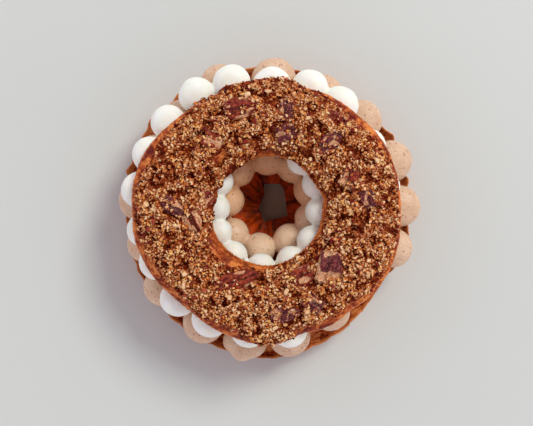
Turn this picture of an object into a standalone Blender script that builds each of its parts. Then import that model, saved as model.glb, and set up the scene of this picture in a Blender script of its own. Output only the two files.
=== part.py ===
"""Paris-Brest: a ring of choux pastry cut open and filled with two layers of piped cream.

From the table up: the hollowed base, hazelnut cream piped in balls round its outer and inner
edge, vanilla cream piped the same way, the domed lid, and the larger pecan pieces on the lid.
Metres, +Z up. The origin is on the table, under the middle of the whole pastry.
"""

import math
import random

import bmesh
import bpy
from mathutils import Matrix, Vector

MM = 0.001
GAP = 0.3 * MM  # air kept between two pieces that touch
RING_STEPS = 40  # sides of the two pastry rings

# Choux base, a wide ring with a small many-sided hole
BASE_RADIUS = 97 * MM
BASE_HEIGHT = 17.5 * MM
BASE_BELLY_HEIGHT = 9.5 * MM  # where the outer wall is widest
BASE_LIP_HEIGHT = 8 * MM  # edge of the hole, below the floor that slopes down to it
BASE_WAVES = ((7, 0.4, 0.9), (11, 0.3, 2.6))  # lobes, height in mm, phase
# A bulge or a dent, here and on the lid: turn, width, height in mm
BASE_BULGES = ((-33, 12, -5), (-50, 14, -2.5), (-90, 12, 2.8), (145, 22, 2), (190, 16, -1.8))
BASE_HOLE_CORNERS = ((9, 19), (-2, 19), (-2, 11), (-6, 2), (-2, -7), (14, -3), (12, 14))
BASE_HOLE_MIDDLE = (4, 6)

# Choux lid, a narrower ring with a domed top
LID_RADIUS = 86 * MM
LID_HOLE_RADIUS = 35 * MM
LID_UNDERSIDE = 60 * MM
LID_WALL_HEIGHT = 4.5 * MM
LID_DOME_HEIGHT = 12 * MM
LID_WAVES = ((9, 0.3, 0.8),)
LID_BULGES = (
    (121, 10, -4),
    (168, 14, 1.5),
    (-131, 15, -5),
    (-73, 7, -4),
    (-54, 6, -2),
    (-25, 12, 1.2),
    (60, 12, -1.5),
)
LID_HOLE_WAVES = ((3, 0.5, 2.9), (5, 0.3, 0.5))
LID_HOLE_BULGES = ((-60, 30, -2), (15, 10, 2))

# Cream layers, in mm: a thick ring with balls piped along its outer and inner wall.
# Each ball is the angle and the radius where it stands, and its own radius.
HAZELNUT = {
    "bottom": 17.8,
    "top": 41.7,
    "outer": {
        "height": 31,
        "half_height": 12.5,
        "balls": (
            (2.4, 88.3, 14),
            (22, 89, 14),
            (44, 87.3, 13.8),
            (64.5, 85.5, 14),
            (87, 87.2, 15),
            (110, 88.8, 15),
            (132, 83, 13.5),
            (153, 83, 13.5),
            (175, 85.5, 13.5),
            (195, 83, 13),
            (216, 84.5, 13.5),
            (240.2, 84.8, 14),
            (260.5, 88, 14.5),
            (280, 84, 14),
            (302.5, 78.5, 13),
            (323, 75.5, 12.5),
            (344, 87, 13),
        ),
    },
    "inner": {
        "height": 29.5,
        "half_height": 12.5,
        "balls": (
            (26.5, 32, 10.8),
            (60, 34.5, 11),
            (89, 35, 11),
            (125, 33.5, 11),
            (164, 26.5, 10.7),
            (213, 27, 10.4),
            (258, 25.5, 11),
            (308, 24.5, 11.4),
            (351, 29, 10.6),
        ),
    },
}
VANILLA = {
    "bottom": 42,
    "top": 59.7,
    "outer": {
        "height": 51,
        "half_height": 11.5,
        "balls": (
            (12, 76.3, 12),
            (32.5, 77.6, 12),
            (55.8, 83.7, 12.6),
            (71, 84.8, 12),
            (87.7, 81.2, 13),
            (105.4, 86.1, 12.6),
            (121.1, 88, 11.7),
            (137.9, 86.2, 11.7),
            (154.1, 84.4, 11.7),
            (170.4, 84, 12),
            (188.6, 80.1, 11.8),
            (204.7, 78.6, 11.8),
            (224.4, 80.8, 12),
            (242.2, 78.8, 12.1),
            (261.3, 77.5, 12.3),
            (280.6, 77.6, 12.2),
            (297, 73, 12),
            (315, 72, 12),
            (333.5, 72, 12),
            (352.5, 72.5, 12),
        ),
    },
    "inner": {
        "height": 50,
        "half_height": 11.5,
        "balls": (
            (0, 34.5, 9.8),
            (29, 36.6, 9.6),
            (56, 40, 9.6),
            (80, 46, 9.6),
            (103, 46.5, 9.6),
            (125, 44.5, 9.6),
            (148, 36.5, 9.4),
            (176, 33.2, 9.3),
            (203, 34.5, 9.4),
            (232, 36, 9.4),
            (264, 36.5, 9.4),
            (296, 35.2, 9.4),
            (327, 34.3, 9.4),
        ),
    },
}
BALL_UNEVENNESS = 0.02  # share by which a hand-piped ball differs from its size
BALL_NECK = 0.2  # size of the pinch between two balls, as a share of a ball
BALL_SECTIONS = 6  # sections of the cream along each outer ball
OUTER_SIDES = 6  # sides of the round of an outer ball, from its top to its bottom
INNER_SIDES = 5

# Pecan pieces on the lid: place in mm, length and width in mm, turn in degrees
PECANS = (
    (39, -37, 23, 17, 80),
    (22, -41, 15, 13, 30),
    (28, -57.5, 15, 11, -35),
    (-22, -44, 31, 13, 19),
    (-60, 3, 17, 11, -32),
    (-47, -6, 15, 12, -60),
    (-18, 65, 22, 14, 10),
    (12, 63, 13, 10, 75),
    (12, 50, 17, 12, 25),
    (43, 58, 16, 10, -25),
    (39, 44, 17, 11, 35),
    (-35, 45, 15, 11, -20),
    (52, 20, 14, 12, 60),
    (63, 9, 14, 10, -70),
    (10, -64, 20, 11, 6),
    (-39, 8, 12, 10, 45),
)
PECAN_HEIGHT = 0.62  # of the width
PECAN_SINK = 0.24  # of the height, below the top of the lid
PECAN_GROOVE = 0.3  # depth of the middle groove, of the half height

CHOUX_BROWN = (0.36, 0.13, 0.04)
HAZELNUT_BEIGE = (0.66, 0.42, 0.27)
VANILLA_WHITE = (0.88, 0.86, 0.79)
PECAN_RED = (0.28, 0.09, 0.05)


def clear_scene():
    for obj in list(bpy.data.objects):
        bpy.data.objects.remove(obj, do_unlink=True)


def material(name, colour, roughness):
    made = bpy.data.materials.new(name)
    made.use_nodes = True
    shader = made.node_tree.nodes["Principled BSDF"]
    shader.inputs["Base Color"].default_value = (*colour, 1)
    shader.inputs["Roughness"].default_value = roughness
    shader.inputs["Metallic"].default_value = 0
    return made


def add_object(name, bm, finish=None):
    mesh = bpy.data.meshes.new(name)
    bm.to_mesh(mesh)
    bm.free()
    mesh.shade_smooth()
    mesh.set_sharp_from_angle(angle=math.radians(40))
    if finish:
        mesh.materials.append(finish)
    obj = bpy.data.objects.new(name, mesh)
    bpy.context.scene.collection.objects.link(obj)
    return obj


def as_cutter(obj):
    obj.hide_render = True
    obj.display_type = "WIRE"
    return obj


def boolean(obj, other, operation):
    modifier = obj.modifiers.new(operation.title(), "BOOLEAN")
    modifier.operation = operation
    modifier.solver = "EXACT"
    modifier.object = other


# Outlines


def wavy_radius(angle, radius, waves, bulges):
    """Radius of a hand-shaped ring: waves all round it, and bulges or dents at one place each."""
    for lobes, height, phase in waves:
        radius += height * MM * math.cos(lobes * angle + phase)
    for turn, width, height in bulges:
        away = math.degrees(math.remainder(angle - math.radians(turn), 2 * math.pi))
        radius += height * MM * math.exp(-((away / width) ** 2))
    return radius


def round_outline(*shape):
    """A function from an angle to a point of a hand-shaped circle."""

    def point(angle):
        radius = wavy_radius(angle, *shape)
        return Vector((radius * math.cos(angle), radius * math.sin(angle)))

    return point


def cornered_outline(corners, middle):
    """A function from an angle to a point of a polygon, seen from a point inside it."""
    centre = Vector(middle) * MM
    points = [Vector(corner) * MM for corner in corners]

    def point(angle):
        ray = Vector((math.cos(angle), math.sin(angle)))
        for start, end in zip(points, points[1:] + points[:1]):
            side = end - start
            across = ray.x * side.y - ray.y * side.x
            if abs(across) < 1e-12:  # the side runs along the ray
                continue
            offset = start - centre
            distance = (offset.x * side.y - offset.y * side.x) / across
            share = (offset.x * ray.y - offset.y * ray.x) / across
            if distance > 0 and 0 <= share <= 1:
                return centre + ray * distance
        return centre

    return point


# Sections, as (share of the way from the hole to the outer edge, height)


def base_section():
    """Round the base: underside, bulging outer wall, flat top and the slope down into the hole."""
    wall_steps = 4
    section = [(0.05, 0), (0.88, 0)]
    for i in range(1, wall_steps + 1):
        angle = math.pi * (-0.5 + i / wall_steps)
        height = BASE_BELLY_HEIGHT if angle < 0 else BASE_HEIGHT - BASE_BELLY_HEIGHT
        section.append((0.88 + 0.12 * math.cos(angle), BASE_BELLY_HEIGHT + height * math.sin(angle)))
    section += [(0.2, BASE_HEIGHT), (0.08, BASE_HEIGHT - 3 * MM), (0, BASE_LIP_HEIGHT)]
    return section + [(0.005, BASE_LIP_HEIGHT / 2)]


def lid_section():
    """Round the lid: underside, outer wall, dome and the inner wall."""
    dome_steps = 8
    section = [(0.03, 0), (0.97, 0), (1, 0.5 * LID_WALL_HEIGHT)]
    for i in range(dome_steps + 1):
        share = 0.985 - 0.97 * i / dome_steps
        rise = math.sin(math.pi * share) ** 0.75
        section.append((share, LID_WALL_HEIGHT + LID_DOME_HEIGHT * rise))
    section.append((0, 0.5 * LID_WALL_HEIGHT))
    return [(share, LID_UNDERSIDE + height) for share, height in section]


def grown(section, by, width):
    """The section moved outwards by a distance; width is the ring's own width."""
    points = [Vector((share * width, height)) for share, height in section]
    moved = []
    for before, here, after in zip(points[-1:] + points[:-1], points, points[1:] + points[:1]):
        normals = [Vector((side.y, -side.x)).normalized() for side in (here - before, after - here)]
        outward = (normals[0] + normals[1]).normalized()
        new = here + outward * by / max(0.5, outward.dot(normals[0]))
        moved.append((new.x / width, new.y))
    return moved


def bridge(bm, loops):
    """Faces between each loop of vertices and the next, and from the last to the first."""
    for here, after in zip(loops, loops[1:] + loops[:1]):
        for k, vert in enumerate(here):
            following = (k + 1) % len(here)
            bm.faces.new((vert, after[k], after[following], here[following]))
    bmesh.ops.recalc_face_normals(bm, faces=bm.faces)


def ring(inner, outer, section):
    """A closed ring with one section all round, stretched between two outlines."""
    bm = bmesh.new()
    loops = []
    for i in range(RING_STEPS):
        angle = 2 * math.pi * i / RING_STEPS
        near, far = inner(angle), outer(angle)
        places = [(near.lerp(far, share), height) for share, height in section]
        loops.append([bm.verts.new((place.x, place.y, height)) for place, height in places])
    bridge(bm, loops)
    return bm


# Pastry


def base_mesh():
    hole = cornered_outline(BASE_HOLE_CORNERS, BASE_HOLE_MIDDLE)
    return ring(hole, round_outline(BASE_RADIUS, BASE_WAVES, BASE_BULGES), base_section())


def lid_mesh(clearance=0.0):
    section = lid_section()
    if clearance:
        section = grown(section, clearance, LID_RADIUS - LID_HOLE_RADIUS)
    hole = round_outline(LID_HOLE_RADIUS, LID_HOLE_WAVES, LID_HOLE_BULGES)
    return ring(hole, round_outline(LID_RADIUS, LID_WAVES, LID_BULGES), section)


def lid_top(x, y):
    """Height of the lid's dome over a point."""
    angle = math.atan2(y, x)
    near = wavy_radius(angle, LID_HOLE_RADIUS, LID_HOLE_WAVES, LID_HOLE_BULGES)
    far = wavy_radius(angle, LID_RADIUS, LID_WAVES, LID_BULGES)
    share = (math.hypot(x, y) - near) / (far - near)
    rise = math.sin(math.pi * min(max(share, 0.02), 0.98)) ** 0.75
    return LID_UNDERSIDE + LID_WALL_HEIGHT + LID_DOME_HEIGHT * rise


# Cream


def ball_spans(balls, chance):
    """For each ball of a ring: its place, its size, and the angles where it starts, is widest and ends."""
    spans = []
    for i, (turn, radius, size) in enumerate(balls):
        before = (balls[i - 1][0] - turn) % -360 / 2
        after = (balls[(i + 1) % len(balls)][0] - turn) % 360 / 2
        size *= 1 + chance.uniform(-1, 1) * BALL_UNEVENNESS
        spans.append({"turn": turn, "before": before, "after": after, "radius": radius, "size": size})
    return spans


def ball_at(spans, turn):
    """Radius where the balls of a ring stand at an angle, and how far they swell there."""
    for i, ball in enumerate(spans):
        away = math.remainder(turn - ball["turn"], 360)
        reach = ball["before"] if away < 0 else ball["after"]
        if abs(away) <= abs(reach) + 1e-6:
            along = min(1, away / reach)
            neighbour = spans[i - 1] if away < 0 else spans[(i + 1) % len(spans)]
            radius = ball["radius"] + (neighbour["radius"] - ball["radius"]) * along / 2
            swell = max(BALL_NECK, math.sqrt(1 - along * along))
            return radius, swell * ball["size"], swell
    raise ValueError(f"no ball at {turn}")


def wall(layer, ring_of_balls, spans, turn, sides, facing):
    """Points from the top to the underside of a cream layer, over its balls at one angle."""
    radius, reach, swell = ball_at(spans, turn)
    edge = radius - facing * 0.25 * spans[0]["size"]
    section = [(edge, layer["top"])]
    for i in range(1, sides):
        angle = math.pi * (0.5 - i / sides)
        height = ring_of_balls["height"] + ring_of_balls["half_height"] * swell * math.sin(angle)
        height = min(max(height, layer["bottom"]), layer["top"])
        section.append((radius + facing * reach * math.cos(angle), height))
    section.append((edge, layer["bottom"]))
    ray = Vector((math.cos(math.radians(turn)), math.sin(math.radians(turn))))
    return [Vector((r * ray.x, r * ray.y, z)) * MM for r, z in section]


def cream_mesh(layer, seed):
    """A cream layer: a ring whose two walls swell over each piped ball, squashed flat above and below."""
    chance = random.Random(seed)
    outer, inner = layer["outer"], layer["inner"]
    outer_spans = ball_spans(outer["balls"], chance)
    inner_spans = ball_spans(inner["balls"], chance)
    bm = bmesh.new()
    loops = []
    for ball in outer_spans:
        for i in range(BALL_SECTIONS):
            along = -math.cos(math.pi * i / BALL_SECTIONS)
            turn = ball["turn"] + abs(along) * (ball["before"] if along < 0 else ball["after"])
            points = wall(layer, outer, outer_spans, turn, OUTER_SIDES, 1)
            points += reversed(wall(layer, inner, inner_spans, turn, INNER_SIDES, -1))
            loops.append([bm.verts.new(point) for point in points])
    bridge(bm, loops)
    return bm


# Pecans


def pecan(name, finish, place, lid_clearance):
    """A broken pecan half: long and ridged, one end snapped off, bedded in the top of the lid."""
    x, y, length, width, turn = place
    bm = bmesh.new()
    bmesh.ops.create_icosphere(bm, subdivisions=2, radius=1)
    for vert in bm.verts:
        groove = PECAN_GROOVE * math.exp(-((vert.co.y / 0.28) ** 2))
        vert.co.z *= 1 - groove if vert.co.z > 0 else 1
        vert.co.x = max(vert.co.x, -0.72 + 0.12 * vert.co.y)
    half_height = PECAN_HEIGHT * width * MM / 2
    size = Matrix.Diagonal((length * MM / 1.72, width * MM / 2, half_height, 1))
    lift = lid_top(x * MM, y * MM) + half_height * (1 - 2 * PECAN_SINK)
    tilt = (Vector((x, y)).length - 60) * 0.4
    outward = math.atan2(y, x)
    lean = Matrix.Rotation(math.radians(tilt), 4, Vector((-math.sin(outward), math.cos(outward), 0)))
    bm.transform(lean @ Matrix.Rotation(math.radians(turn), 4, "Z") @ size)
    bmesh.ops.remove_doubles(bm, verts=bm.verts, dist=0.05 * MM)
    obj = add_object(name, bm, finish)
    obj.location = (x * MM, y * MM, lift)
    boolean(obj, lid_clearance, "DIFFERENCE")
    return obj


def stand_on_origin(pieces):
    """Hangs the pieces on one empty and puts the middle of their box over the origin."""
    bpy.context.view_layer.update()
    graph = bpy.context.evaluated_depsgraph_get()
    corners = []
    for piece in pieces:
        shown = piece.evaluated_get(graph)
        corners += [shown.matrix_world @ vert.co for vert in shown.data.vertices]
    low = Vector(map(min, zip(*corners)))
    high = Vector(map(max, zip(*corners)))
    pastry = bpy.data.objects.new("pastry", None)
    bpy.context.scene.collection.objects.link(pastry)
    for obj in bpy.data.objects:
        if obj != pastry:
            obj.parent = pastry
    pastry.location = (-(low.x + high.x) / 2, -(low.y + high.y) / 2, -low.z)


def build():
    clear_scene()
    choux = material("choux", CHOUX_BROWN, 0.45)
    base = add_object("base_choux", base_mesh(), choux)
    beige = material("hazelnut_cream", HAZELNUT_BEIGE, 0.5)
    hazelnut = add_object("hazelnut_cream", cream_mesh(HAZELNUT, 3), beige)
    white = material("vanilla_cream", VANILLA_WHITE, 0.45)
    vanilla = add_object("vanilla_cream", cream_mesh(VANILLA, 8), white)
    lid = add_object("lid_choux", lid_mesh(), choux)

    lid_clearance = as_cutter(add_object("lid_clearance", lid_mesh(GAP)))
    nut = material("pecan", PECAN_RED, 0.4)
    pecans = [pecan(f"pecan_{i:02d}", nut, place, lid_clearance) for i, place in enumerate(PECANS, 1)]
    stand_on_origin([base, hazelnut, vanilla, lid, *pecans])


build()
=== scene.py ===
import math
import random

import bpy
import numpy as np
from mathutils import Matrix, Vector, noise
from mathutils.bvhtree import BVHTree


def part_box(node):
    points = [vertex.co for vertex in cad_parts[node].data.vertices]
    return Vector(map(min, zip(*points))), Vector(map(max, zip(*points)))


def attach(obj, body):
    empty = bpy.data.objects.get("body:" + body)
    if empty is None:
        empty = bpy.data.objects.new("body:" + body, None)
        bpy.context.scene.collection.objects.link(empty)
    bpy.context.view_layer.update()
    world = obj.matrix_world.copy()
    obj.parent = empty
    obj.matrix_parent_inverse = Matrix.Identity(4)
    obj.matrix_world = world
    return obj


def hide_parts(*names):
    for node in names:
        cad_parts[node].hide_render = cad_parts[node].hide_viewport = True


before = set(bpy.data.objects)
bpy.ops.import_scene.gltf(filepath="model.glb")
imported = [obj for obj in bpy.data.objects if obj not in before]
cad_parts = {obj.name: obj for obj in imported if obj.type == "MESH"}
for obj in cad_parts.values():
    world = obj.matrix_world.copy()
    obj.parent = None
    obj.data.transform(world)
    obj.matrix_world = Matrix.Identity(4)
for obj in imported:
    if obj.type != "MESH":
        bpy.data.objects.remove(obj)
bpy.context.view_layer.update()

mm = 0.001
middle = Vector((-1.785, -0.424, 0))  # axis of the pastry in mm: the creams bulge unevenly round it
heights = {  # levels in mm, as the solids have them
    "baseTop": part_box("base_choux")[1].z / mm,
    "hazelnutFoot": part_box("hazelnut_cream")[0].z / mm,
    "hazelnutTop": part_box("hazelnut_cream")[1].z / mm,
    "vanillaFoot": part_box("vanilla_cream")[0].z / mm,
    "vanillaTop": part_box("vanilla_cream")[1].z / mm,
    "lidFoot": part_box("lid_choux")[0].z / mm,
}


# Small tools used for every piece


def selectOnly(*pieces):
    bpy.ops.object.select_all(action="DESELECT")
    for piece in pieces:
        piece.select_set(True)
    bpy.context.view_layer.objects.active = pieces[0]


def applyModifier(piece, kind, **settings):
    selectOnly(piece)
    modifier = piece.modifiers.new(kind, kind)
    for name, value in settings.items():
        setattr(modifier, name, value)
    bpy.ops.object.modifier_apply(modifier=modifier.name)


def joined(pieces):
    selectOnly(*pieces)
    bpy.ops.object.join()
    return bpy.context.object


def settled(piece):  # place, turn and size go into the mesh
    selectOnly(piece)
    bpy.ops.object.transform_apply(location=True, rotation=True, scale=True)
    return piece


def points(piece):
    found = np.empty(len(piece.data.vertices) * 3)
    piece.data.vertices.foreach_get("co", found)
    return found.reshape(-1, 3)


def moveTo(piece, places):
    piece.data.vertices.foreach_set("co", np.asarray(places, float).ravel())
    piece.data.update()


def setAttribute(piece, name, values):  # one value for each point
    piece.data.attributes.new(name, "FLOAT", "POINT").data.foreach_set("value", values)


def triangles(piece):
    return sum(len(face.vertices) - 2 for face in piece.data.polygons)


def readyPiece(piece, name, finish, nodes=()):
    piece.name = piece.data.name = name
    piece.data.materials.clear()
    piece.data.materials.append(finishes[finish])
    selectOnly(piece)
    bpy.ops.object.shade_smooth()
    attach(piece, "root")
    if nodes:
        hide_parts(*nodes)
    print(f"{name}: {triangles(piece)} triangles")
    return piece


def smoothStep(low, high, value):
    share = min(max((value - low) / (high - low), 0), 1)
    return share * share * (3 - 2 * share)


def lumpy(x, y, z, size):  # smooth noise, -1 to 1, with lumps of a size in mm
    return noise.noise(Vector((x, y, z)) / size)


def bell(value, width):  # 1 at a value of 0, falling to nothing on both sides
    return math.exp(-((value / width) ** 2))


def turnedRadius(turn, radius, waves, bulges):  # mm, of a ring shaped by hand
    for lobes, height, phase in waves:
        radius += height * math.cos(lobes * math.radians(turn) + phase)
    for place, width, height in bulges:
        radius += height * bell(math.remainder(turn - place, 360), width)
    return radius


def ringTable(pairs, soft=0):  # a value for each half degree, from (turn, value) pairs of a closed ring
    turns = np.arange(720) / 2
    values = np.interp(turns, [turn for turn, _ in pairs], [value for _, value in pairs], period=360)
    for _ in range(soft):
        values = (np.roll(values, 2) + 2 * values + np.roll(values, -2)) / 4
    return values.tolist()


def aroundRing(table, turn):
    at = (turn % 360) * 2
    low = int(at)
    share = at - low
    return table[low % 720] * (1 - share) + table[(low + 1) % 720] * share


def roundedSection(corners, spacing):  # a closed section with its corners eased, at even spacing
    loop = [Vector(corner) for corner in corners]
    for _ in range(2):
        eased = []
        for here, after in zip(loop, loop[1:] + loop[:1]):
            eased += [here.lerp(after, 0.25), here.lerp(after, 0.75)]
        loop = eased
    lengths = [0.0]
    for here, after in zip(loop, loop[1:] + loop[:1]):
        lengths.append(lengths[-1] + (after - here).length)
    steps = round(lengths[-1] / spacing)
    along = np.arange(steps) * lengths[-1] / steps
    closed = loop + loop[:1]
    across = np.interp(along, lengths, [point.x for point in closed])
    upwards = np.interp(along, lengths, [point.y for point in closed])
    return list(zip(across.tolist(), upwards.tolist()))


def spunRing(section, steps):  # a closed section of (radius, height) in mm, spun round the axis
    bpy.ops.object.select_all(action="DESELECT")
    bpy.ops.mesh.primitive_circle_add(vertices=len(section), radius=10 * mm)
    ring = bpy.context.object
    moveTo(ring, [(radius * mm, 0, height * mm) for radius, height in section])
    bpy.ops.object.mode_set(mode="EDIT")
    bpy.ops.mesh.select_all(action="SELECT")
    bpy.ops.mesh.spin(steps=steps, angle=2 * math.pi, center=(0, 0, 0), axis=(0, 0, 1))
    bpy.ops.mesh.select_all(action="SELECT")
    bpy.ops.mesh.remove_doubles(threshold=0.02 * mm)
    bpy.ops.mesh.normals_make_consistent(inside=False)
    bpy.ops.object.mode_set(mode="OBJECT")
    return ring


# Materials


class Wire:  # one output socket, with sums that add their Math nodes
    def __init__(self, graph, socket):
        self.graph = graph
        self.socket = socket

    def sum(self, operation, first, second):
        return self.graph.add("ShaderNodeMath", {"operation": operation}, {0: first, 1: second})

    def __add__(self, other):
        return self.sum("ADD", self, other)

    def __radd__(self, other):
        return self.sum("ADD", other, self)

    def __sub__(self, other):
        return self.sum("SUBTRACT", self, other)

    def __rsub__(self, other):
        return self.sum("SUBTRACT", other, self)

    def __mul__(self, other):
        return self.sum("MULTIPLY", self, other)

    def __rmul__(self, other):
        return self.sum("MULTIPLY", other, self)

    def __truediv__(self, other):
        return self.sum("DIVIDE", self, other)


class Graph:  # the nodes of one material
    def __init__(self, name, constants):
        self.material = bpy.data.materials.new(name)
        self.material.use_nodes = True
        self.tree = self.material.node_tree
        self.shader = self.tree.nodes["Principled BSDF"]
        for socket, value in constants.items():
            self.shader.inputs[socket].default_value = value
        self.place = self.add("ShaderNodeTexCoord", {}, {}, "Object")

    def add(self, kind, settings, inputs, output=0):
        node = self.tree.nodes.new(kind)
        for name, value in settings.items():
            if name == "stops":
                ramp = node.color_ramp
                while len(ramp.elements) < len(value):
                    ramp.elements.new(0.5)
                for element, (position, colour) in zip(ramp.elements, value):
                    element.position = position
                    element.color = (*colour, 1)
            else:
                setattr(node, name, value)
        for name, value in inputs.items():
            if isinstance(value, Wire):
                self.tree.links.new(value.socket, node.inputs[name])
            else:
                node.inputs[name].default_value = value
        return Wire(self, node.outputs[output])

    def stretched(self, x, y, z):  # the place on the piece, with each axis scaled
        return self.add("ShaderNodeVectorMath", {"operation": "MULTIPLY"}, {0: self.place, 1: (x, y, z)})

    def clouds(self, size, detail=3.0, rough=0.5, place=None):  # noise, 0 to 1, of a size in mm
        inputs = {"Vector": place or self.place, "Scale": 1 / (size * mm)}
        return self.add("ShaderNodeTexNoise", {}, {**inputs, "Detail": detail, "Roughness": rough})

    def cells(self, size, feature="F1"):  # distance to the nearest of many points, a size in mm apart
        inputs = {"Vector": self.place, "Scale": 1 / (size * mm)}
        return self.add("ShaderNodeTexVoronoi", {"feature": feature}, inputs, "Distance")

    def between(self, value, low, high, toLow=0.0, toHigh=1.0):  # a value's range mapped to another, clamped
        inputs = {"Value": value, "From Min": low, "From Max": high, "To Min": toLow, "To Max": toHigh}
        return self.add("ShaderNodeMapRange", {"interpolation_type": "SMOOTHSTEP"}, inputs)

    def ramp(self, value, stops):
        return self.add("ShaderNodeValToRGB", {"stops": stops}, {"Fac": value})

    def mixed(self, share, first, second):
        inputs = {0: share}
        for socket, colour in ((6, first), (7, second)):
            inputs[socket] = colour if isinstance(colour, Wire) else (*colour, 1)
        return self.add("ShaderNodeMix", {"data_type": "RGBA"}, inputs, 2)

    def attribute(self, name):
        return self.add("ShaderNodeAttribute", {"attribute_name": name}, {}, "Fac")

    def part(self, axis):
        return self.add("ShaderNodeSeparateXYZ", {}, {0: self.place}, axis)

    def across(self):  # distance from the middle, seen from above
        flat = self.stretched(1, 1, 0)
        return self.add("ShaderNodeVectorMath", {"operation": "LENGTH"}, {0: flat}, "Value")

    def vector(self, x, y, z):
        return self.add("ShaderNodeCombineXYZ", {}, {0: x, 1: y, 2: z})

    def finish(self, colour, rough, relief, depth):  # relief is in mm of height for a value of 1
        bump = self.add("ShaderNodeBump", {}, {"Height": relief, "Distance": depth * mm, "Strength": 1.0})
        for socket, value in (("Base Color", colour), ("Roughness", rough), ("Normal", bump)):
            self.tree.links.new(value.socket, self.shader.inputs[socket])
        return self.material


def tint(red, green, blue):  # a colour from 0 to 255, as the shader wants it
    return tuple(
        part / 12.92 if part <= 0.04045 else ((part + 0.055) / 1.055) ** 2.4
        for part in (red / 255, green / 255, blue / 255)
    )


crusts = {
    "chouxCrust": {
        "dark": tint(108, 22, 2),
        "plain": tint(188, 82, 36),
        "light": tint(236, 152, 90),
        "coat": 0.05,
        "soakedTo": 26,  # mm, the radius inside which it is dark, moist and ribbed
        "paleTo": 1,  # mm, the radius inside which it is a little paler
        "rim": (18.3, 19.9),  # mm, it turns paler from the first height to the second: partly the paler torn edge of the crust, partly painted light on the edge
    },
    "glazedCrust": {
        "dark": tint(98, 14, 2),
        "plain": tint(174, 72, 24),
        "light": tint(230, 138, 68),
        "coat": 0.08,
        "soakedTo": 5,
        "paleTo": 38,
        "rim": (66.5, 63.5),
    },
}


def crustFinish(name):
    look = crusts[name]
    dark, light, rim = look["dark"], look["light"], look["rim"]
    graph = Graph(name, {"Coat Weight": look["coat"], "Coat Roughness": 0.22, "Specular IOR Level": 0.12})
    x, y, z, across = graph.part("X"), graph.part("Y"), graph.part("Z"), graph.across()
    layered = graph.vector(x * 0.13, y * 0.13, across * 0.65 + z * 1.1)  # stretched along the ring
    streaks = graph.clouds(1.3, 4, 0.6, layered)
    patches = graph.clouds(8, 4, 0.6)
    fine = graph.clouds(2.4, 5, 0.65)
    tone = graph.between(patches * 0.4 + streaks * 0.28 + fine * 0.32, 0.41, 0.59)
    colour = graph.ramp(tone, [(0.0, dark), (0.5, look["plain"]), (1.0, light)])
    pits = graph.between(graph.cells(1.7), 0.3, 0.12)
    colour = graph.mixed(pits * graph.between(fine, 0.4, 0.6) * 0.45, colour, dark)
    # paler at the torn edge: partly the crust's own colour there, partly painted light
    colour = graph.mixed(graph.between(z, rim[0] * mm, rim[1] * mm) * 0.6, colour, light)
    pale = graph.between(across, look["paleTo"] * mm, (look["paleTo"] + 8) * mm, 0.12, 0.0)
    colour = graph.mixed(pale, colour, light)
    soaked = graph.between(across, look["soakedTo"] * mm, (look["soakedTo"] + 14) * mm, 1.0, 0.0)
    outward = graph.vector(x / across * 0.014, y / across * 0.014, across * 0.3)  # ribs run outwards
    ribs = graph.clouds(3.0, 4, 0.6, outward)
    ribbed = graph.ramp(ribs, [(0.36, tint(70, 1, 0)), (0.62, tint(222, 78, 6))])
    colour = graph.mixed(soaked * 0.9, colour, ribbed)
    rough = graph.between(fine, 0.3, 0.7, 0.3, 0.56)
    wrinkles = fine * 0.6 + streaks * 0.5 * (1 - soaked) + ribs * 0.6 * soaked
    wrinkles += graph.cells(3.2, "SMOOTH_F1") * 0.3 + graph.clouds(0.5, 2) * 0.12
    return graph.finish(colour, rough, wrinkles, 0.6)


creams = {
    "hazelnutCream": {
        "plain": tint(219, 181, 150),
        "shade": tint(196, 148, 112),
        "light": tint(230, 198, 170),
        "specks": tint(146, 52, 26),
        "grains": tint(174, 96, 60),
        "paintedLitFront": tint(254, 220, 192),  # painted light along the hole: paler at the front, lit by the lamp, and orange at the back, painted bounce light from the crust
        "back": tint(240, 182, 134),
    },
    "vanillaCream": {
        "plain": tint(249, 248, 236),
        "shade": tint(238, 235, 218),
        "light": tint(254, 254, 246),
    },
}


def creamFinish(name):
    look = creams[name]
    constants = {
        "Subsurface Weight": 0.4,
        "Subsurface Radius": (1.0, 0.75, 0.55),
        "Subsurface Scale": 3 * mm,
        "Specular IOR Level": 0.5,
    }
    graph = Graph(name, constants)
    clouds = graph.clouds(9, 3)
    colour = graph.mixed(graph.between(clouds, 0.3, 0.7), look["plain"], look["light"])
    lines = graph.clouds(1.0, 3, 0.6, graph.stretched(0.06, 0.06, 1.0))
    relief = lines * 0.4 + graph.clouds(4, 2) * 0.5
    if "specks" in look:
        fine = graph.clouds(1.1, 4, 0.7)
        colour = graph.mixed(graph.between(fine, 0.44, 0.62) * 0.4, colour, look["shade"])
        # painted light near the hole: paler at the front, and orange at the back as painted light thrown on
        # it by the crust
        paintedHoleLight = graph.mixed(graph.between(graph.part("Y"), -15 * mm, 15 * mm), look["paintedLitFront"], look["back"])
        colour = graph.mixed(graph.between(graph.across(), 48 * mm, 56 * mm, 0.6, 0.0), colour, paintedHoleLight)
        uneven = (fine - 0.5) * 0.3
        specks = graph.between(graph.cells(2.6) + uneven, 0.25, 0.11)
        chosen = graph.between(graph.clouds(5, 2), 0.46, 0.54)
        colour = graph.mixed(specks * chosen * 0.9, colour, look["specks"])
        grains = graph.between(graph.cells(1.3) + uneven, 0.28, 0.12)
        colour = graph.mixed(grains * 0.42, colour, look["grains"])
        relief = relief - specks * chosen * 0.3 - grains * 0.1 + fine * 0.3
    else:
        colour = graph.mixed(graph.between(lines, 0.45, 0.7) * 0.3, colour, look["shade"])
    rough = graph.between(clouds, 0.3, 0.7, 0.42, 0.55)
    return graph.finish(colour, rough, relief, 0.4)


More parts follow.
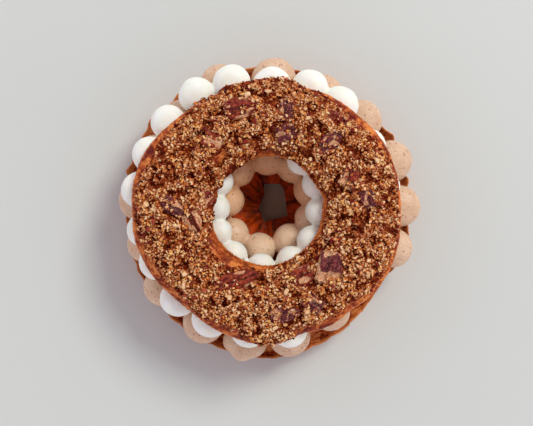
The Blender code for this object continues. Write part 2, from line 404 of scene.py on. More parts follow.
crumbLooks = {  # the tones go from the gaps of the heap to its top, with painted shade in the gaps and painted light on top: place in the range, red, green and blue
    "goldenCrumb": {
        "tones": ((0.0, 128, 36, 8), (0.4, 202, 116, 58), (0.75, 236, 172, 116), (1.0, 248, 208, 162)),
        "rough": 0.5,
        "gloss": 0.12,
    },
    "brownCrumb": {
        "tones": ((0.0, 84, 4, 0), (0.45, 158, 60, 24), (0.8, 214, 128, 80), (1.0, 240, 178, 130)),
        "rough": 0.45,
        "gloss": 0.08,
    },
    "amberCrumb": {
        "tones": ((0.0, 118, 20, 0), (0.45, 196, 92, 26), (0.8, 238, 152, 70), (1.0, 250, 198, 124)),
        "rough": 0.32,
        "gloss": 0.25,
    },
    "darkCrumb": {
        "tones": ((0.0, 58, 2, 4), (0.5, 120, 26, 22), (1.0, 180, 80, 60)),
        "rough": 0.4,
        "gloss": 0.12,
    },
    "crumbBed": {
        "tones": ((0.0, 58, 2, 0), (0.45, 146, 54, 20), (1.0, 224, 146, 92)),
        "rough": 0.6,
        "gloss": 0.05,
    },
}


def crumbFinish(name):
    look = crumbLooks[name]
    graph = Graph(name, {"Specular IOR Level": look["gloss"]})
    tone = graph.attribute("tone") + (graph.clouds(1.2, 3, 0.6) - 0.5) * 0.55
    colour = graph.ramp(tone, [(place, tint(*colour)) for place, *colour in look["tones"]])
    grain = graph.clouds(0.45, 2)
    rough = graph.between(grain, 0.3, 0.7, look["rough"] - 0.1, look["rough"] + 0.1)
    return graph.finish(colour, rough, grain, 0.2)


pecanLooks = {
    "purplePecan": {"dark": tint(50, 6, 12), "plain": tint(116, 34, 42), "light": tint(178, 102, 98)},
    "redPecan": {"dark": tint(70, 6, 6), "plain": tint(150, 38, 28), "light": tint(210, 98, 56)},
}
pecanFlesh = [(0.3, tint(188, 100, 58)), (0.5, tint(238, 172, 126)), (0.72, tint(254, 218, 182))]
crumbDust = tint(214, 152, 112)


def pecanFinish(name):
    look = pecanLooks[name]
    graph = Graph(name, {"Coat Weight": 0.15, "Coat Roughness": 0.2, "Specular IOR Level": 0.15})
    flesh = graph.attribute("flesh") + (graph.clouds(2.2, 4, 0.6) - 0.5) * 0.7
    streaks = graph.clouds(1.9, 5, 0.68)
    skin = graph.ramp(streaks, [(0.32, look["dark"]), (0.5, look["plain"]), (0.68, look["light"])])
    inside = graph.ramp(graph.clouds(1.3, 4, 0.6), pecanFlesh)
    colour = graph.mixed(graph.between(flesh, 0.44, 0.56), skin, inside)
    # painted shade: darker in the creases and the groove of the nut
    colour = graph.mixed(graph.attribute("crease") * 0.75, colour, look["dark"])
    dust = graph.between(graph.clouds(0.8, 3, 0.7), 0.56, 0.66)
    colour = graph.mixed(dust * 0.55, colour, crumbDust)
    relief = graph.clouds(1.0, 5, 0.65) * 0.6 + streaks * 0.5 + dust * 0.3
    return graph.finish(colour, graph.between(streaks, 0.3, 0.7, 0.28, 0.5), relief, 1.0)


finishes = {}
for kinds, finishFor in (
    (crusts, crustFinish),
    (creams, creamFinish),
    (crumbLooks, crumbFinish),
    (pecanLooks, pecanFinish),
):
    for name in kinds:
        finishes[name] = finishFor(name)
print("materials ready")


# Choux base: a thin-walled case with a raised, torn rim and a slope down into its small hole

base = {
    "radius": 97,
    "outline": (  # radius of the rim in mm by turn
        (10, 96), (20, 96.3), (31, 97.3), (45, 96.5), (60, 97), (77, 97.6), (98, 97.4), (112, 97.8),
        (127, 98), (142, 98), (157, 98.4), (164, 96), (176, 95.4), (188, 95.2), (208, 95.6), (227, 96.2),
        (234, 96.8), (253, 98), (270, 99.6), (285, 97.4), (298, 95.6), (307, 94), (316, 92.6), (322, 91.5),
        (329, 90.6), (336, 93), (350, 96),
    ),
    "jags": (  # turn, and mm that the torn rim points up and out there
        (127, 3.5), (142, 4), (164, 4.5), (31, 3.5), (13, 2.4), (-10, 2), (-24, 2.4), (95, 1.2), (228, 1),
        (205, 1.5),
    ),
    "jagWidth": 3.5,  # degrees
    "holeCorners": ((9, 19), (-2, 19), (-2, 11), (-6, 2), (-2, -7), (14, -3), (12, 14)),
    "holeMiddle": (4, 6),
    "rim": 3.4,  # mm that the rim stands over the floor
    "ribs": 1.3,  # mm, ribs on the slope
    "steps": 480,
}


def polygonPoint(corners, centre, turn):  # where a ray from the centre meets the polygon
    ray = Vector((math.cos(math.radians(turn)), math.sin(math.radians(turn))))
    loop = [Vector(corner) for corner in corners]
    for start, end in zip(loop, loop[1:] + loop[:1]):
        side = end - start
        across = ray.x * side.y - ray.y * side.x
        if abs(across) < 1e-9:
            continue
        offset = start - Vector(centre)
        distance = (offset.x * side.y - offset.y * side.x) / across
        share = (offset.x * ray.y - offset.y * ray.x) / across
        if distance > 0 and 0 <= share <= 1:
            return Vector(centre) + ray * distance
    return Vector(centre)


baseOuter = ringTable(base["outline"], 5)


def makeBase():
    top = heights["baseTop"]
    corners = [  # mm out from the hole, and height: underside, wall, rim, floor, slope down to the hole
        (4, 0), (30, 0), (60, 0), (86, 0), (91, 1), (95, 4), (96.4, 9.5), (96, 14), (96.4, top + 1),
        (96.9, top + base["rim"]), (96, top + base["rim"] + 0.2), (94.6, top + 1.2), (92, top - 0.4),
        (84, top), (60, top), (30, top), (20, top - 0.4), (13, top - 2.6), (8, top - 5.5), (2.5, top - 8),
        (0, 9.5), (0, 5), (1, 1.5),
    ]
    holeSize = 12  # the section is spun this far out, and then stretched between the two outlines
    piece = spunRing([(x + holeSize, z) for x, z in roundedSection(corners, 1.1)], base["steps"])
    places = []
    for x, y, z in points(piece) / mm:
        turn = math.degrees(math.atan2(y, x))
        share = (math.hypot(x, y) - holeSize) / base["radius"]
        edge = aroundRing(baseOuter, turn)
        jag = 0
        for at, high in base["jags"]:
            jag += high * max(0, 1 - abs(math.remainder(turn - at, 360)) / base["jagWidth"])
        ray = Vector((math.cos(math.radians(turn)), math.sin(math.radians(turn))))
        rimX, rimY = ray.x * base["radius"], ray.y * base["radius"]
        near = polygonPoint(base["holeCorners"], base["holeMiddle"], turn)
        raised = smoothStep(top, top + 3, z) * smoothStep(0.9, 0.97, share)
        edge += raised * (0.6 * jag + 0.5 * lumpy(rimX, rimY, 3, 5) + 0.35 * lumpy(rimX, rimY, 8, 2))
        place = near.lerp(ray * edge, share)
        torn = lumpy(rimX, rimY, 0, 9) * 1.2 + lumpy(rimX, rimY, 5, 2.2) * 0.9 + jag
        height = z + raised * torn
        bumpy = lumpy(place.x, place.y, z, 7) * 0.5 + lumpy(place.x, place.y, z, 2.4) * 0.3
        if z > top - 9 and share < 0.3:  # the slope round the hole
            ribs = abs(lumpy(*(ray * 14), place.length / 9, 3.2)) * 2 - 0.7
            height += ribs * base["ribs"] * smoothStep(0.0, 0.06, share) + bumpy
        elif z > top - 2 and share < 0.95:  # the floor under the cream
            height += bumpy * 0.4 - 0.3
        elif share > 0.9:  # the wall
            folds = abs(lumpy(place.x / 3, place.y / 3, z * 1.8, 3.4)) - 0.3
            place += ray * (bumpy * 0.8 + folds * smoothStep(1, 5, z))
        places.append(Vector((place.x, place.y, max(height, 0))) + middle)
    moveTo(piece, np.array(places) * mm)
    return readyPiece(piece, "baseCrust", "chouxCrust", ["base_choux"])


makeBase()


# Creams: balls piped side by side along both edges of a ring

hazelnut = {
    "foot": heights["hazelnutFoot"],
    "top": heights["hazelnutTop"],
    "seed": 3,
    "band": (36, 80),  # inner and outer radius of the fill between the two rows
    "outer": {
        "height": 31,  # mm, of the middle of the balls
        "halfHeight": 12.5,
        "balls": (  # turn, mm from the axis, and radius in mm
            (2.4, 88.3, 14), (22, 89, 14), (44, 87.3, 13.8), (64.5, 85.5, 14), (87, 87.2, 15),
            (110, 88.8, 15), (132, 83, 13.5), (153, 83, 13.5), (175, 85.5, 13.5), (195, 83, 13),
            (216, 84.5, 13.5), (240.2, 84.8, 14), (260.5, 88, 14.5), (280, 84, 14), (302.5, 78.5, 13),
            (323, 75.5, 12.5), (344, 87, 13),
        ),
    },
    "inner": {
        "height": 29.5,
        "halfHeight": 12.5,
        "balls": (
            (26.5, 32, 10.8), (60, 34.5, 11), (89, 35, 11), (125, 33.5, 11), (164, 26.5, 10.7),
            (213, 27, 10.4), (258, 25.5, 11), (308, 24.5, 11.4), (351, 29, 10.6),
        ),
    },
}
vanilla = {
    "foot": heights["vanillaFoot"],
    "top": heights["vanillaTop"],
    "seed": 8,
    "band": (40, 76),
    "outer": {
        "height": 51,
        "halfHeight": 11.5,
        "balls": (
            (12, 76.3, 12), (32.5, 77.6, 12), (55.8, 83.7, 12.6), (71, 84.8, 12), (87.7, 81.2, 13),
            (105.4, 86.1, 12.6), (121.1, 88, 11.7), (137.9, 86.2, 11.7), (154.1, 84.4, 11.7), (170.4, 84, 12),
            (188.6, 80.1, 11.8), (204.7, 78.6, 11.8), (224.4, 80.8, 12), (242.2, 78.8, 12.1),
            (261.3, 77.5, 12.3), (280.6, 77.6, 12.2), (297, 73, 12), (315, 72, 12), (333.5, 72, 12),
            (352.5, 72.5, 12),
        ),
    },
    "inner": {
        "height": 50,
        "halfHeight": 11.5,
        "balls": (
            (0, 34.5, 9.8), (29, 36.6, 9.6), (56, 40, 9.6), (80, 46, 9.6), (103, 46.5, 9.6), (125, 44.5, 9.6),
            (148, 36.5, 9.4), (176, 33.2, 9.3), (203, 34.5, 9.4), (232, 36, 9.4), (264, 36.5, 9.4),
            (296, 35.2, 9.4), (327, 34.3, 9.4),
        ),
    },
}


pulledBall = {  # one ball was pulled to a blunt point: share of its radius by turn round its own middle
    "turn": 260.5,
    "outline": ((187, 1), (216, 0.83), (250, 0.93), (288, 0.78), (336, 0.97), (380, 1)),
}
piping = {
    "uneven": 0.02,  # share by which the size of a ball varies
    "voxel": 0.8,  # mm, balls closer than this flow together
    "triangles": 180000,
    "give": 0.5,  # mm over which the cream gives way to the layer pressed on it
}


def pipedBall(place, size, over, under, outline, chance):  # over, under: mm of it over and under its middle
    bpy.ops.object.select_all(action="DESELECT")
    bpy.ops.mesh.primitive_uv_sphere_add(segments=40, ring_count=28, radius=1)
    ball = bpy.context.object
    drift = chance.uniform(0, 90)
    shaped = []
    for x, y, z in points(ball):
        swell = 1 + 0.03 * noise.noise(Vector((x, y, z + drift)) * 1.3)
        swell += 0.014 * noise.noise(Vector((x, y, z * 5 + drift)) * 1.6)
        wide = size * aroundRing(outline, math.degrees(math.atan2(y, x)))
        shaped.append(place + Vector((x * wide, y * wide, z * (over if z > 0 else under))) * swell)
    moveTo(ball, np.array(shaped) * mm)
    return ball


def pipedLayer(layer):
    chance = random.Random(layer["seed"])
    balls = []
    for row in (layer["outer"], layer["inner"]):
        for turn, radius, size in row["balls"]:
            size *= 1 + chance.uniform(-1, 1) * piping["uneven"]
            ray = Vector((math.cos(math.radians(turn)), math.sin(math.radians(turn)), 0))
            place = middle + Vector((0, 0, row["height"])) + ray * radius
            outline = ringTable(pulledBall["outline"] if turn == pulledBall["turn"] else ((0, 1),), 4)
            over = layer["top"] - row["height"] + 0.2
            balls.append((place, size, over, row["halfHeight"], outline))
    pieces = [pipedBall(*ball, chance) for ball in balls]
    low, high = layer["foot"], layer["top"]
    near, far = layer["band"]
    band = spunRing(roundedSection([(near, low + 1), (far, low + 1), (far, high), (near, high)], 3), 180)
    moveTo(band, points(band) + np.array(middle) * mm)
    piece = joined([band] + pieces)
    bpy.ops.object.mode_set(mode="EDIT")  # flat where it lies on the layer below
    bpy.ops.mesh.select_all(action="SELECT")
    plane = {"plane_co": (0, 0, low * mm), "plane_no": (0, 0, -1)}
    bpy.ops.mesh.bisect(**plane, clear_outer=True, use_fill=True, threshold=1e-7)
    bpy.ops.object.mode_set(mode="OBJECT")
    voxel = piping["voxel"] * mm
    applyModifier(piece, "REMESH", mode="VOXEL", voxel_size=voxel, adaptivity=0.0, use_smooth_shade=True)
    applyModifier(piece, "SMOOTH", factor=0.5, iterations=3)
    applyModifier(piece, "DECIMATE", ratio=min(1, piping["triangles"] / triangles(piece)))
    places = points(piece) / mm
    give = piping["give"]
    places[:, 2] = np.maximum(high - give * np.logaddexp(0, (high - places[:, 2]) / give), low)
    moveTo(piece, places * mm)
    return piece


for kind, layer in (("hazelnut", hazelnut), ("vanilla", vanilla)):
    node = f"{kind}_cream"
    readyPiece(pipedLayer(layer), f"{kind}Piping", f"{kind}Cream", [node])


# Choux lid: a domed ring whose crust shows along both edges of the topping

lid = {
    "radius": 86,
    "holeRadius": 35,
    "outline": (  # outer radius in mm by turn
        (5, 86), (14, 86.4), (29, 87.3), (47, 84.8), (56, 84.7), (65, 84.4), (72, 82.5), (79, 86), (90, 85.5),
        (101, 83.6), (108, 84.2), (115, 79.8), (122, 82), (129, 82.7), (135, 83), (146, 85.5), (156, 87.6),
        (167, 87.7), (172, 87.5), (181, 86.4), (192, 86.9), (200, 85.6), (211, 84.2), (219, 82), (230, 80.6),
        (236, 81.1), (248, 83.1), (254, 83.4), (265, 85.5), (270, 86.1), (280, 83.7), (286, 81), (292, 83),
        (299, 84), (311, 83), (323, 86.8), (329, 86.9), (336, 87.4), (346, 86.8), (355, 86),
    ),
    "holeWaves": ((3, 0.5, 2.9), (5, 0.3, 0.5)),  # waves round the hole, mm, and their start
    "holeBulges": ((-60, 30, -2), (15, 10, 2)),  # turn, width in degrees, mm
    "wall": 4.5,  # mm of upright edge
    "dome": 12,  # mm that the lid rises over it
    "steps": 480,
}


lidOuter = ringTable(lid["outline"], 4)
lidInner = [
    turnedRadius(number / 2, lid["holeRadius"], lid["holeWaves"], lid["holeBulges"]) for number in range(720)
]


def lidEdges(turn):  # radius of the hole and of the outer edge, mm
    return aroundRing(lidInner, turn), aroundRing(lidOuter, turn)


def domeHeight(x, y):  # mm, of the crust under the topping; x and y from the axis
    near, far = lidEdges(math.degrees(math.atan2(y, x)))
    share = (math.hypot(x, y) - near) / (far - near)
    rise = math.sin(math.pi * min(max(share, 0.015), 0.985)) ** 0.75
    return heights["lidFoot"] + lid["wall"] + lid["dome"] * rise


def makeLid():
    foot, wall = heights["lidFoot"], lid["wall"]
    corners = [(0.03, foot), (0.97, foot), (0.995, foot + 0.4 * wall), (0.997, foot + 0.75 * wall)]
    for number in range(13):
        share = 0.985 - 0.97 * number / 12
        corners.append((share, foot + wall + lid["dome"] * math.sin(math.pi * share) ** 0.75))
    corners += [(0.003, foot + 0.75 * wall), (0.005, foot + 0.4 * wall)]
    width = lid["radius"] - lid["holeRadius"]
    holeSize = 10  # the section is spun this far out, as for the base
    section = roundedSection([(share * width + holeSize, height) for share, height in corners], 0.95)
    piece = spunRing(section, lid["steps"])
    places = []
    for x, y, z in points(piece) / mm:
        turn = math.degrees(math.atan2(y, x))
        ray = Vector((math.cos(math.radians(turn)), math.sin(math.radians(turn)), 0))
        share = (math.hypot(x, y) - holeSize) / width
        near, far = lidEdges(turn)
        torn = lumpy(*(ray * 60), 2.5) * 0.6 + lumpy(*(ray * 60), 1.1) * 0.35
        torn *= smoothStep(foot + 9, foot + 1, z)
        place = ray * (near + (far - near) * share + (torn if share > 0.5 else -torn))
        bumpy = lumpy(place.x, place.y, z, 9) * 0.5 + lumpy(place.x, place.y, z, 2.8) * 0.28
        if z > foot + 2:
            height = z + bumpy
        else:
            height = z + abs(lumpy(place.x, place.y, 0, 3)) * 0.5
        places.append(Vector((place.x, place.y, height)) + middle)
    moveTo(piece, np.array(places) * mm)
    return readyPiece(piece, "lidCrust", "glazedCrust", ["lid_choux"])


makeLid()


# Topping: a bed of crushed nuts on the dome, pecan pieces in it and loose crumbs heaped over both

topping = {
    "outerBand": (  # bare crust in mm at the outer edge, by turn
        (0, 2), (22, 2.2), (34, 4.4), (50, 4.6), (60, 3), (70, 0.3), (108, -0.6), (112, -1.6), (120, -1.4),
        (128, 1), (137, 4), (150, 4), (158, 7), (168, 3), (175, 2), (183, 1.5), (195, 5), (215, 5),
        (228, 4.5), (233, 0.8), (237, 1), (243, 5), (258, 4), (265, 0.3), (279, 0.3), (284, 1.5), (288, 4),
        (300, 5.6), (312, 4.6), (322, 3), (335, 3), (345, 2), (355, 1.5),
    ),
    "innerBand": (  # the same at the hole; below 0 the topping hangs over the edge
        (0, 3), (15, 3), (30, 1), (55, 0.5), (75, 1.5), (85, 4), (98, 3), (106, 0), (115, -1.5),
        (140, -2.2), (185, -1.8), (195, 0), (200, 3), (205, 6), (212, 8), (225, 8), (235, 7), (245, 5),
        (255, 3.8), (265, 3), (272, 1.5), (280, 0.5), (310, 0.5), (325, 1.5), (345, 2.5),
    ),
    "bare": ((-31, 32.5, 3.5), (-27, 36, 3)),  # x, y, radius of patches without crumbs
    "thin": 0.5,  # mm of crumbs where they lie thinnest
    "clumps": 2.7,  # mm that the clumps rise over that
    "steps": 600,
}


outerBand = ringTable(topping["outerBand"], 3)
innerBand = ringTable(topping["innerBand"], 3)


def coverage(x, y):  # mm into the covered part of the lid; negative on the bare crust
    turn = math.degrees(math.atan2(y, x))
    near, far = lidEdges(turn)
    radius = math.hypot(x, y)
    inside = min(radius - near - aroundRing(innerBand, turn), far - aroundRing(outerBand, turn) - radius)
    inside += 1.5 * lumpy(x, y, 4, 3.5) + 1.2 * lumpy(x, y, 7, 1.6)
    for px, py, size in topping["bare"]:
        inside = min(inside, math.hypot(x - px, y - py) - size)
    return inside


def clumped(x, y):  # 0 in the gaps between the clumps of crumbs, 1 on the clumps
    waves = 0.7 * lumpy(x, y, 1, 8) + 0.6 * lumpy(x, y, 2, 4.4) + 0.3 * lumpy(x, y, 9, 2.3)
    return smoothStep(-0.5, 0.26, waves)


def bedDepth(x, y):  # mm of bed over the crust
    inside = coverage(x, y)
    depth = topping["thin"] + topping["clumps"] * clumped(x, y)
    return smoothStep(-0.5, 3.0, inside) * depth - smoothStep(1.0, -1.0, inside) * 1.3


def makeBed():
    count, start, width, top = 84, 10, 51, 4  # points across the top of the section, and its size in mm
    section = [(start + width * number / (count - 1), top) for number in range(count)]
    section += [(60, 1), (45, 0), (35, 0), (25, 0), (11, 1)]
    piece = spunRing(section, topping["steps"])
    places, tones = [], []
    for x, y, z in points(piece) / mm:
        turn = math.degrees(math.atan2(y, x))
        near, far = lidEdges(turn)
        share = 0.01 + 0.98 * (math.hypot(x, y) - start) / width
        ray = Vector((math.cos(math.radians(turn)), math.sin(math.radians(turn)), 0))
        near += min(0, aroundRing(innerBand, turn)) * (1 + lumpy(ray.x * 35, ray.y * 35, 6, 4))
        far -= min(0, aroundRing(outerBand, turn)) * (1 + lumpy(ray.x * 80, ray.y * 80, 6, 4))
        place = ray * (near + (far - near) * share)
        if z > top - 1:
            depth = bedDepth(place.x, place.y)
            fine = 0.55 * lumpy(place.x, place.y, 3, 1.8) + 0.4 * lumpy(place.x, place.y, 5, 1.0)
            place.z = domeHeight(place.x, place.y) + depth + fine * smoothStep(0, 1, depth)
            # painted shade and light: the bed is darker where it lies thin in the gaps between clumps and
            # paler on its lumps
            tones.append(0.08 + 0.17 * max(depth, 0.9) + 0.9 * fine)
        else:
            place.z = max(domeHeight(place.x, place.y) - 3 - z, heights["lidFoot"] + 1)
            tones.append(0.45)
        places.append(place + middle)
    moveTo(piece, np.array(places) * mm)
    setAttribute(piece, "tone", tones)
    return readyPiece(piece, "crumbBed", "crumbBed")


bed = makeBed()

pecans = (  # length and width in mm, turn, kind and colour of each piece, in the order of its nodes
    (23, 17, 80, "block", "purple"), (15, 13, 30, "chip", "red"), (15, 11, -35, "chip", "purple"),
    (31, 13, 19, "half", "red"), (17, 11, -32, "half", "purple"), (15, 12, -60, "split", "red"),
    (22, 14, 10, "half", "red"), (13, 10, 75, "chip", "purple"), (17, 12, 25, "half", "purple"),
    (16, 10, -25, "chip", "red"), (17, 11, 35, "half", "purple"), (15, 11, -20, "chip", "red"),
    (14, 12, 60, "block", "red"), (14, 10, -70, "chip", "purple"), (20, 11, 6, "half", "purple"),
    (12, 10, 45, "chip", "red"),
)
snapped = {"half": -0.72, "chip": -0.45, "block": -0.5, "split": -0.6}  # where each ends, -1 is a whole nut


def pecanPiece(number, length, width, turn, kind, colour):
    low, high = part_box(f"pecan_{number:02d}")
    centre = (low + high) / 2 / mm
    bpy.ops.object.select_all(action="DESELECT")
    bpy.ops.mesh.primitive_uv_sphere_add(segments=56, ring_count=40, radius=1, rotation=(0, math.pi / 2, 0))
    nut = settled(bpy.context.object)
    drift = number * 7.3  # so that no two pieces are alike
    shaped, flesh, creaseShades = [], [], []
    for x, y, z in points(nut):  # from -1 to 1 along each axis
        broken = 0.0  # 1 where the pale flesh shows
        grain = noise.noise(Vector((x * 2.4, y * 2.4, drift)))
        fine = noise.noise(Vector((x * 7, y * 7, z * 7 + drift)))
        fine += noise.noise(Vector((x * 2.5, y * 9, drift)))
        scraped = smoothStep(0.16, 0.34, noise.noise(Vector((x * 1.7, y * 1.7, drift + 40))))
        groove = 0.42 * bell(y, 0.17) + 0.14 * bell(abs(y) - 0.52 - 0.06 * math.sin(5 * x), 0.1)
        if kind == "split":
            groove += 0.25 * bell(y, 0.3)
            broken = smoothStep(0.25, 0.5, abs(y))
        if z > 0:
            z *= 1 - groove
            broken = max(broken, scraped)
            z -= 0.06 * scraped
        crease = bell(noise.noise(Vector((x * 1.9, y * 2.6, drift + 70))), 0.07) if z > 0 else 0.0
        z += (0.24 * grain + 0.13 * fine - 0.26 * crease) * (1 if z > 0 else 0.4)
        y += 0.09 * noise.noise(Vector((x * 3, z * 3, drift + 9)))
        y *= 1 - 0.28 * max(x, 0) ** 2
        end = snapped[kind] + 0.1 * grain + 0.08 * y
        if x < end:
            broken = smoothStep(0, 0.12, end - x)
            x = end + 0.08 * fine
        if kind in ("chip", "block"):
            side = 0.62 + 0.12 * grain - 0.1 * x
            if y > side:
                broken = max(broken, smoothStep(0, 0.1, y - side))
                y = side + 0.07 * fine
            far = 0.6 + 0.1 * fine
            if x > far:
                broken = max(broken, smoothStep(0, 0.1, x - far))
                x = far
        if kind == "block" and z > 0.62:
            z = 0.62 + 0.06 * grain
        if kind == "block":  # the lower part of it is broken away down to the flesh
            step = smoothStep(-0.02, -0.14, x + 0.15 * grain)
            broken = max(broken, step)
            z -= (0.2 + 0.5 * smoothStep(0.15, -0.15, y + 0.1 * fine)) * step * (z > 0)
        shaped.append((x, y, z))
        flesh.append(broken)
        # painted shade in the creases and the groove, less where the flesh shows
        creaseShades.append(max(crease, min(1, 2 * groove) if z > 0 else 0) * (1 - 0.6 * broken))
    shaped = np.array(shaped)
    shaped -= (shaped.max(axis=0) + shaped.min(axis=0)) / 2
    shaped /= shaped.max(axis=0) - shaped.min(axis=0)
    shaped *= (length, width, (high.z - low.z) / mm)
    turned = Matrix.Rotation(math.radians(turn), 3, "Z")
    outward = Vector((centre.x - middle.x, centre.y - middle.y, 0))  # it leans as the dome does under it
    sideways = Vector((-outward.y, outward.x, 0)).normalized()
    lean = Matrix.Rotation(math.radians((outward.length - 60) * 0.4), 3, sideways)
    moveTo(nut, (shaped @ np.array(lean @ turned).T + np.array(centre)) * mm)
    setAttribute(nut, "flesh", flesh)
    setAttribute(nut, "crease", creaseShades)
    return readyPiece(nut, f"pecanPiece{number:02d}", f"{colour}Pecan", [f"pecan_{number:02d}"])


nuts = [pecanPiece(number, *pecan) for number, pecan in enumerate(pecans, 1)]


# Loose crumbs. A few grains of each kind are modelled, and copies are dropped one by one on the heap

crumbs = {  # count, finish, size in mm, thickness as a share of size, and tone from 0, dark, to 1, pale
    "brownCrumbs": (6400, "brownCrumb", (0.7, 2.1), (0.6, 1.0), (0.1, 0.8)),
    "darkCrumbs": (2400, "darkCrumb", (0.7, 2.6), (0.4, 0.9), (0.1, 0.8)),
    "amberCrumbs": (6000, "amberCrumb", (0.7, 2.3), (0.55, 1.0), (0.1, 0.8)),
    "goldenCrumbs": (5400, "goldenCrumb", (0.7, 2.3), (0.5, 0.95), (0.15, 0.85)),
    "paleFlakes": (110, "goldenCrumb", (2.2, 4.4), (0.3, 0.6), (0.3, 0.75)),
    "skinFlakes": (100, "darkCrumb", (2.0, 4.0), (0.35, 0.7), (0.0, 0.5)),
    "fineCrumbs": (3000, "goldenCrumb", (0.4, 0.9), (0.6, 1.0), (0.0, 1.0)),
}
strayCrumbs = (  # x, y and size in mm of a few that fell on the cream
    (-46.1, 69.4, 3.2), (-43.6, 70.8, 1.5), (-41.5, 70.2, 1.9), (-15, -30.5, 1.4),
)
heaping = {
    "radii": (33, 88),  # mm from the axis
    "edge": (-0.6, 1.2),  # mm inside the edge of the topping: from none to all of the crumbs stay
    "clinging": (0.04, 0.5),  # on the nuts they cling in patches
    "mostRise": 5.8,  # mm over the crust
    "cell": 0.5,  # mm, of the grid that holds the height of the heap
    "span": 190,  # mm, of the grid
}


def modelGrain(seed):  # an uneven grain with broken faces, a few dozen triangles
    chance = random.Random(seed)
    bpy.ops.object.select_all(action="DESELECT")
    bpy.ops.mesh.primitive_ico_sphere_add(subdivisions=2, radius=1)
    grain = bpy.context.object
    drift = Vector((seed * 3.1, 0, 0))
    places = map(Vector, points(grain))
    moveTo(grain, [place * (1 + 0.42 * noise.noise(place * 1.1 + drift)) for place in places])
    for _ in range(3):  # flat faces where it broke
        way = Vector((chance.gauss(0, 1), chance.gauss(0, 1), chance.gauss(0, 1))).normalized()
        cut = chance.uniform(0.45, 0.75)
        moveTo(grain, [place - way * max(0, place.dot(way) - cut) for place in map(Vector, points(grain))])
    applyModifier(grain, "DECIMATE", ratio=0.34)
    applyModifier(grain, "TRIANGULATE")
    corners = points(grain)
    faces = np.array([list(face.vertices) for face in grain.data.polygons])
    bpy.data.objects.remove(grain)
    return corners / np.abs(corners).max(), faces


grains = [modelGrain(seed) for seed in range(10)]
down = Vector((0, 0, -1))
above = 120  # mm, over all of the pastry, where the rays that look for it start


def heapStart():  # height of the bed and the nuts under each cell, and where it is a nut
    cell, span = heaping["cell"], heaping["span"]
    graph = bpy.context.evaluated_depsgraph_get()
    ground = []
    for piece in [bed] + nuts + [bpy.data.objects["lidCrust"]]:
        places = points(piece) / mm - np.array(middle)
        ground.append((BVHTree.FromObject(piece, graph), places.min(axis=0), places.max(axis=0)))
    size = int(span / cell)
    heap = np.full((size, size), -1.0)  # below 0: nothing there
    nutty = np.zeros((size, size), bool)
    for row in range(size):
        for column in range(size):
            x, y = (row + 0.5) * cell - span / 2, (column + 0.5) * cell - span / 2
            turn = math.degrees(math.atan2(y, x))
            near, far = lidEdges(turn)
            over = min(0, aroundRing(innerBand, turn)), min(0, aroundRing(outerBand, turn))
            if not near + over[0] - 0.3 < math.hypot(x, y) < far - over[1] + 0.3:
                continue
            start = Vector((x, y, above)) + middle
            if coverage(x, y) > -0.5:  # crumbs hang over the edges of the lid
                heap[row, column] = domeHeight(x, y) - 0.5
            for number, (tree, low, high) in enumerate(ground):
                if not (low[0] < x < high[0] and low[1] < y < high[1]):
                    continue
                hit = tree.ray_cast(start * mm, down)[0]
                if hit and hit.z / mm > heap[row, column]:
                    heap[row, column] = hit.z / mm
                    nutty[row, column] = 0 < number <= len(nuts)
    return heap, nutty


heap, nutty = heapStart()
print("heap measured")


def dropGrains(kind, seed):  # place, size, flatness and tone of each grain; the heap grows under them
    cell, span = heaping["cell"], heaping["span"]
    chance = random.Random(seed)
    count, _, (least, most), flats, tones = crumbs[kind]
    near, far = heaping["radii"]
    dropped = []
    while len(dropped) < count:
        radius, turn = math.sqrt(chance.uniform(near**2, far**2)), chance.uniform(0, 360)
        x, y = radius * math.cos(math.radians(turn)), radius * math.sin(math.radians(turn))
        inside = coverage(x, y)
        if inside < chance.uniform(*heaping["edge"]):
            continue
        row, column = int((x + span / 2) / cell), int((y + span / 2) / cell)
        if heap[row, column] < 0 or chance.random() > 0.3 + 0.7 * clumped(x, y):  # fewer in the gaps
            continue
        if nutty[row, column] and lumpy(x, y, 12, 3.2) < chance.uniform(*heaping["clinging"]):
            continue
        size = least + (most - least) * chance.random() ** 2
        flat = chance.uniform(*flats)
        reach = max(1, round(size * 0.35 / cell))
        under = heap[row - reach : row + reach + 1, column - reach : column + reach + 1]
        level = float(np.median(under))
        if level < heights["lidFoot"]:  # it would fall past the edge
            continue
        height = level + size * flat * 0.22  # sunk between the grains under it
        rise = height - domeHeight(x, y)
        if rise > heaping["mostRise"]:
            continue
        tone = chance.uniform(*tones) + 0.13 * (max(rise, 1.2) - 2.4)  # painted light and shade: paler towards the top of the heap, darker low down in it
        tone += 0.4 * lumpy(x, y, 15, 2.8)
        dropped.append((x, y, height, size, flat, tone))
        np.maximum(under, height + size * flat * 0.32, out=under)
    return dropped


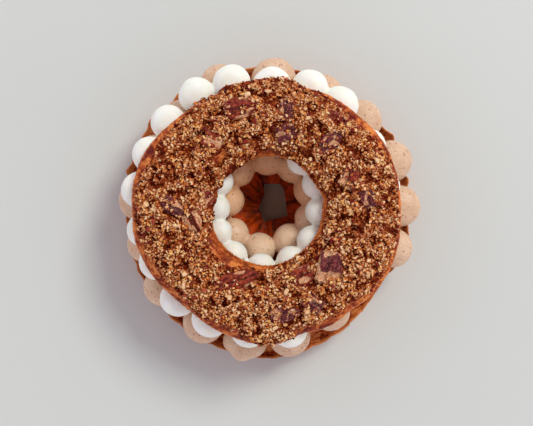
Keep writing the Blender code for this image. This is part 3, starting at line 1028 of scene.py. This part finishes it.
def makeCrumbs(kind, seed):
    chance = random.Random(seed)
    corners, faces, tones, count = [], [], [], 0
    _, finish, *_ = crumbs[kind]
    dropped = dropGrains(kind, seed + 50)
    if kind == "amberCrumbs":
        graph = bpy.context.evaluated_depsgraph_get()
        cream = BVHTree.FromObject(bpy.data.objects["vanillaPiping"], graph)
        for x, y, size in strayCrumbs:
            hit = cream.ray_cast((Vector((x, y, above)) + middle) * mm, down)[0]
            dropped.append((x, y, hit.z / mm + size * 0.2, size, 0.8, 0.5))
    for x, y, height, size, flat, tone in dropped:
        shape, sides = grains[chance.randrange(len(grains))]
        angle = chance.gauss(0, 0.5)
        axis = Vector((chance.gauss(0, 1), chance.gauss(0, 1), 0.01)).normalized()
        lean = Matrix.Rotation(angle, 3, axis)
        spin = Matrix.Rotation(chance.uniform(0, 6.28), 3, "Z")
        scale = Matrix.Diagonal((chance.uniform(0.8, 1.25), chance.uniform(0.6, 1), flat))
        turned = np.array(lean @ spin @ scale) * (size / 2)
        corners.append(shape @ turned.T + np.array(middle + Vector((x, y, height))))
        faces.append(sides + count)
        tones += [tone] * len(shape)
        count += len(shape)
    mesh = bpy.data.meshes.new(kind)
    mesh.from_pydata((np.concatenate(corners) * mm).tolist(), [], np.concatenate(faces).tolist())
    piece = bpy.data.objects.new(kind, mesh)
    bpy.context.scene.collection.objects.link(piece)
    setAttribute(piece, "tone", tones)
    readyPiece(piece, kind, finish)
    selectOnly(piece)
    bpy.ops.object.shade_smooth_by_angle(angle=math.radians(35))
    return piece


for number, kind in enumerate(crumbs, 1):
    makeCrumbs(kind, number)


# Table, light and camera

studio = {
    "floor": tint(217, 219, 217),
    "keyPower": 236,
    "keyPlace": (2.95, 3.08, 5.36),
    "keySize": 2.24,
    "keyColour": (0.95, 1, 0.88),
    "fill": 0.95,
    "sky": ((0.7, (1.0, 0.945, 1.04)), (0.89, (0.015, 0.015, 0.015))),  # by height: dark straight above
    "lens": 85,
    "cameraHeight": 0.868,
    "cameraShift": (-0.33, -1.0),  # mm from the axis
}


def makeStudio():
    bpy.ops.object.select_all(action="DESELECT")
    bpy.ops.mesh.primitive_plane_add(size=4, location=(0, 0, 0))
    table = bpy.context.object
    table.name = table.data.name = "table"
    graph = Graph("paleTable", {})
    darker = tuple(part * 0.97 for part in studio["floor"])
    colour = graph.mixed(graph.clouds(120, 3), studio["floor"], darker)
    rough = graph.between(graph.clouds(30, 2), 0.3, 0.7, 0.45, 0.5)
    table.data.materials.append(graph.finish(colour, rough, graph.clouds(3, 2), 0.02))

    bpy.ops.object.light_add(type="AREA", location=studio["keyPlace"])
    key = bpy.context.object
    key.name = "keyLight"
    key.data.shape = "DISK"
    key.data.size = studio["keySize"]
    key.data.energy = studio["keyPower"]
    key.data.color = studio["keyColour"]
    key.rotation_euler = (Vector((0, 0, 0.04)) - key.location).to_track_quat("-Z", "Y").to_euler()

    world = bpy.context.scene.world or bpy.data.worlds.new("studio")
    bpy.context.scene.world = world
    world.use_nodes = True
    nodes, links = world.node_tree.nodes, world.node_tree.links
    nodes.clear()
    way = nodes.new("ShaderNodeTexCoord")
    split = nodes.new("ShaderNodeSeparateXYZ")
    ramp = nodes.new("ShaderNodeValToRGB")
    back = nodes.new("ShaderNodeBackground")
    out = nodes.new("ShaderNodeOutputWorld")
    for element, (position, colour) in zip(ramp.color_ramp.elements, studio["sky"]):
        element.position = position
        element.color = (*colour, 1)
    back.inputs["Strength"].default_value = studio["fill"]
    links.new(way.outputs["Generated"], split.inputs[0])
    links.new(split.outputs["Z"], ramp.inputs["Fac"])
    links.new(ramp.outputs["Color"], back.inputs["Color"])
    links.new(back.outputs["Background"], out.inputs["Surface"])

    aside, along = studio["cameraShift"]
    place = ((middle.x + aside) * mm, (middle.y + along) * mm, studio["cameraHeight"])
    bpy.ops.object.camera_add(location=place)
    camera = bpy.context.object
    camera.name = "camera"
    camera.rotation_euler = (0, 0, 0)
    camera.data.lens = studio["lens"]
    camera.data.sensor_width = 36
    camera.data.clip_start = 0.01
    bpy.context.scene.camera = camera
    bpy.context.scene.view_settings.view_transform = "Standard"


makeStudio()
